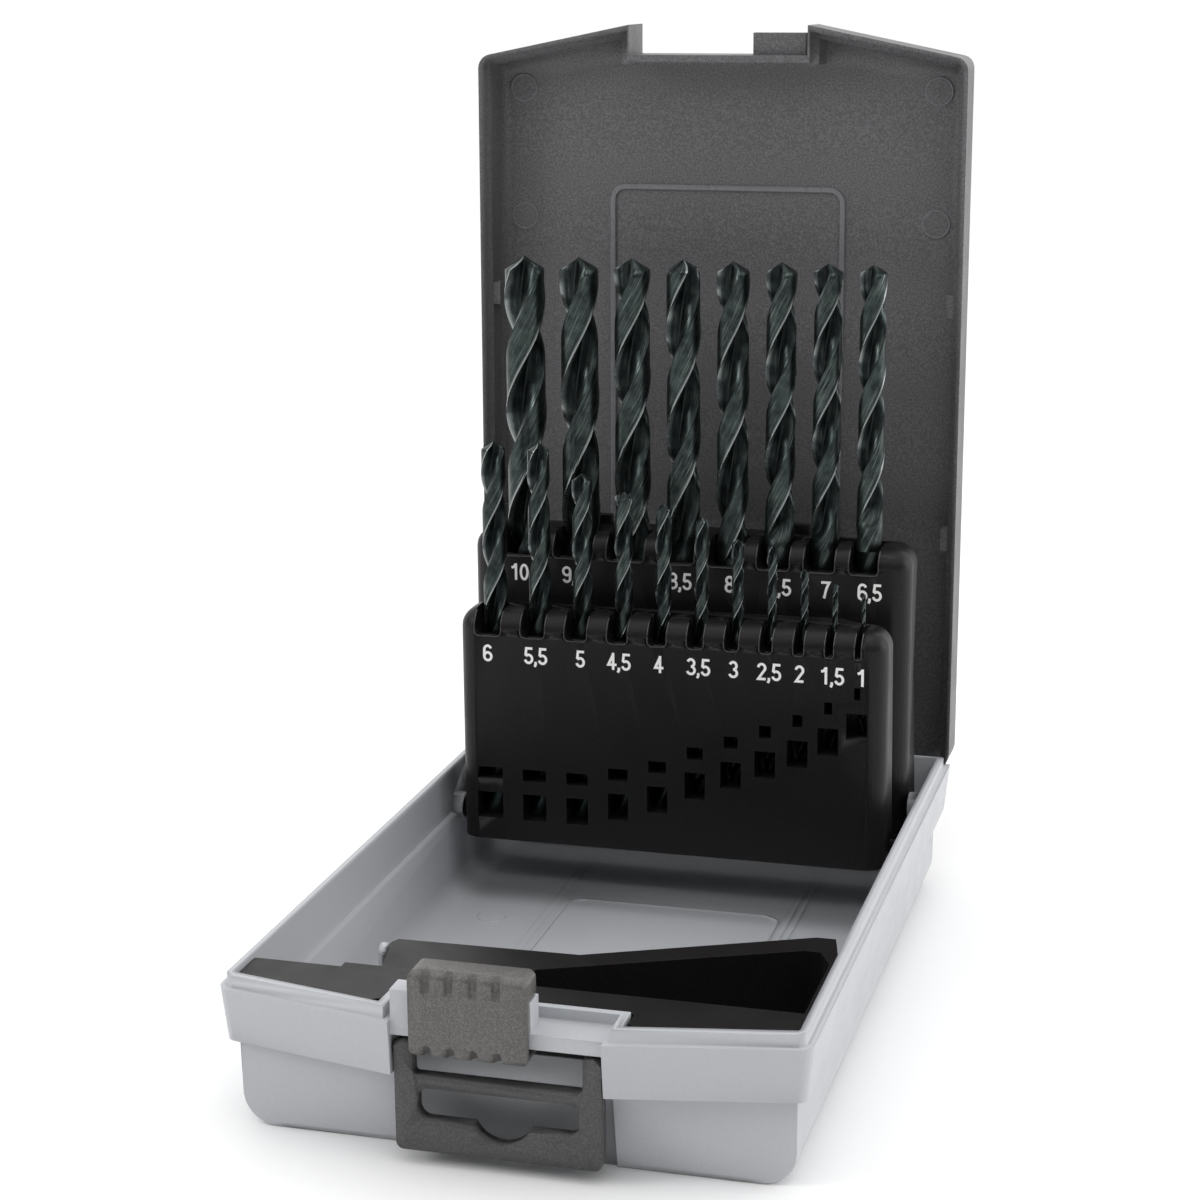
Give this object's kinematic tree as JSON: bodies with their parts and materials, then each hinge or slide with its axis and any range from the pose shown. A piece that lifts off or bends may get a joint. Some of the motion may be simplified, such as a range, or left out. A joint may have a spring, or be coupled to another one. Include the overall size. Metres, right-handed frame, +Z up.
{
  "type": "drill bit case",
  "caption": "Hinged plastic case for metric twist drills: two holders fold down with the lid, with a sliding latch, a swing-out hanger and a pocket at the front.",
  "frame": {"origin": "middle of the tray's flat underside, halfway between its side walls and between its front and back walls", "axes": "+X to the right along the width, +Y to the back where the lid stands, +Z up, the way the drills stand"},
  "size_m": [0.122, 0.2023, 0.2133],
  "materials": {
    "light_grey_plastic": "fine matte texture, light blue grey",
    "anthracite_plastic": "fine sparkling matte texture, anthracite",
    "black_plastic": "fine matte texture, black",
    "warm_grey_plastic": "fine matte texture, warm grey",
    "dark_grey_plastic": "fine matte texture, dark grey",
    "black_oxide_steel": "steam-tempered black oxide, satin"
  },
  "bodies": {
    "base": {"base_tray": "light_grey_plastic", "tip_tray": "black_plastic"},
    "lid": {"lid": "anthracite_plastic"},
    "rear_holder": {"rear_holder": "black_plastic"},
    "front_holder": {"front_holder": "black_plastic"},
    "latch_slider": {"latch_slider": "warm_grey_plastic"},
    "hanger_tab": {"hanger_tab": "dark_grey_plastic"},
    "drill_10_0": {"drill_10_0": "black_oxide_steel"},
    "drill_9_5": {"drill_9_5": "black_oxide_steel"},
    "drill_9_0": {"drill_9_0": "black_oxide_steel"},
    "drill_8_5": {"drill_8_5": "black_oxide_steel"},
    "drill_8_0": {"drill_8_0": "black_oxide_steel"},
    "drill_7_5": {"drill_7_5": "black_oxide_steel"},
    "drill_7_0": {"drill_7_0": "black_oxide_steel"},
    "drill_6_5": {"drill_6_5": "black_oxide_steel"},
    "drill_6_0": {"drill_6_0": "black_oxide_steel"},
    "drill_5_5": {"drill_5_5": "black_oxide_steel"},
    "drill_5_0": {"drill_5_0": "black_oxide_steel"},
    "drill_4_5": {"drill_4_5": "black_oxide_steel"},
    "drill_4_0": {"drill_4_0": "black_oxide_steel"},
    "drill_3_5": {"drill_3_5": "black_oxide_steel"},
    "drill_3_0": {"drill_3_0": "black_oxide_steel"},
    "drill_2_5": {"drill_2_5": "black_oxide_steel"},
    "drill_2_0": {"drill_2_0": "black_oxide_steel"},
    "drill_1_5": {"drill_1_5": "black_oxide_steel"},
    "drill_1_0": {"drill_1_0": "black_oxide_steel"}
  },
  "joints": [
    {"name": "lid_hinge", "type": "hinge", "parent": "base", "child": "lid", "pos_m": [0, 0.086, 0.0295], "axis": [-1, 0, 0], "range_deg": [-91, 0]},
    {"name": "rear_holder_tilt", "type": "hinge", "parent": "base", "child": "rear_holder", "pos_m": [0, 0.0615, 0.02835], "axis": [-1, 0, 0], "range_deg": [-90, 0]},
    {"name": "front_holder_tilt", "type": "hinge", "parent": "base", "child": "front_holder", "pos_m": [0, 0.0515, 0.0225], "axis": [-1, 0, 0], "range_deg": [-90, 0]},
    {"name": "latch_slide", "type": "slide", "parent": "base", "child": "latch_slider", "axis": [1, 0, 0], "range_m": [0, 0.01]},
    {"name": "hanger_swing", "type": "hinge", "parent": "base", "child": "hanger_tab", "pos_m": [0, -0.0945, 0.0244], "axis": [-1, 0, 0], "range_deg": [0, 90]},
    {"name": "drill_10_0_lift", "type": "slide", "parent": "rear_holder", "child": "drill_10_0", "axis": [0, 0, 1], "range_m": [0, 0.066]},
    {"name": "drill_9_5_lift", "type": "slide", "parent": "rear_holder", "child": "drill_9_5", "axis": [0, 0, 1], "range_m": [0, 0.058]},
    {"name": "drill_9_0_lift", "type": "slide", "parent": "rear_holder", "child": "drill_9_0", "axis": [0, 0, 1], "range_m": [0, 0.058]},
    {"name": "drill_8_5_lift", "type": "slide", "parent": "rear_holder", "child": "drill_8_5", "axis": [0, 0, 1], "range_m": [0, 0.05]},
    {"name": "drill_8_0_lift", "type": "slide", "parent": "rear_holder", "child": "drill_8_0", "axis": [0, 0, 1], "range_m": [0, 0.05]},
    {"name": "drill_7_5_lift", "type": "slide", "parent": "rear_holder", "child": "drill_7_5", "axis": [0, 0, 1], "range_m": [0, 0.042]},
    {"name": "drill_7_0_lift", "type": "slide", "parent": "rear_holder", "child": "drill_7_0", "axis": [0, 0, 1], "range_m": [0, 0.042]},
    {"name": "drill_6_5_lift", "type": "slide", "parent": "rear_holder", "child": "drill_6_5", "axis": [0, 0, 1], "range_m": [0, 0.034]},
    {"name": "drill_6_0_lift", "type": "slide", "parent": "front_holder", "child": "drill_6_0", "axis": [0, 0, 1], "range_m": [0, 0.0525]},
    {"name": "drill_5_5_lift", "type": "slide", "parent": "front_holder", "child": "drill_5_5", "axis": [0, 0, 1], "range_m": [0, 0.0525]},
    {"name": "drill_5_0_lift", "type": "slide", "parent": "front_holder", "child": "drill_5_0", "axis": [0, 0, 1], "range_m": [0, 0.0525]},
    {"name": "drill_4_5_lift", "type": "slide", "parent": "front_holder", "child": "drill_4_5", "axis": [0, 0, 1], "range_m": [0, 0.0505]},
    {"name": "drill_4_0_lift", "type": "slide", "parent": "front_holder", "child": "drill_4_0", "axis": [0, 0, 1], "range_m": [0, 0.048]},
    {"name": "drill_3_5_lift", "type": "slide", "parent": "front_holder", "child": "drill_3_5", "axis": [0, 0, 1], "range_m": [0, 0.0456]},
    {"name": "drill_3_0_lift", "type": "slide", "parent": "front_holder", "child": "drill_3_0", "axis": [0, 0, 1], "range_m": [0, 0.0415]},
    {"name": "drill_2_5_lift", "type": "slide", "parent": "front_holder", "child": "drill_2_5", "axis": [0, 0, 1], "range_m": [0, 0.0385]},
    {"name": "drill_2_0_lift", "type": "slide", "parent": "front_holder", "child": "drill_2_0", "axis": [0, 0, 1], "range_m": [0, 0.036]},
    {"name": "drill_1_5_lift", "type": "slide", "parent": "front_holder", "child": "drill_1_5", "axis": [0, 0, 1], "range_m": [0, 0.03]},
    {"name": "drill_1_0_lift", "type": "slide", "parent": "front_holder", "child": "drill_1_0", "axis": [0, 0, 1], "range_m": [0, 0.026]}
  ],
  "couplings": [
    {"joint": "rear_holder_tilt", "follows": "lid_hinge", "ratio": 0.98901},
    {"joint": "front_holder_tilt", "follows": "lid_hinge", "ratio": 0.98901}
  ]
}
